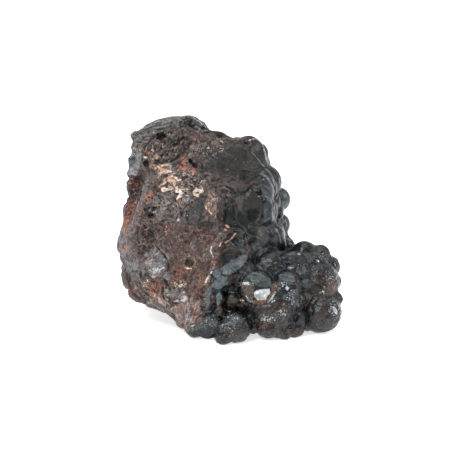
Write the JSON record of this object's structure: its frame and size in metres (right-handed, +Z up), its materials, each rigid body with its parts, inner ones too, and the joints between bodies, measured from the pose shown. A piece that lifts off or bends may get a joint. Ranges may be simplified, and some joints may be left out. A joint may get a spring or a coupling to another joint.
{
  "type": "botryoidal hematite specimen",
  "caption": "Palm-sized lump of hematite ore with a broken brown crust on one side and dark rounded domes over the other side and the foot; it stands by itself as a display mineral.",
  "frame": {"origin": "middle of the bounding box's underside, level with the flats that the stone rests on", "axes": "+X to the right as the stone is seen from its broken front, along its width; +Y to the back; +Z up"},
  "size_m": [0.079, 0.0636, 0.0704],
  "materials": {
    "hematite": "satin"
  },
  "bodies": {
    "root": {"specimen": "hematite"}
  },
  "joints": []
}
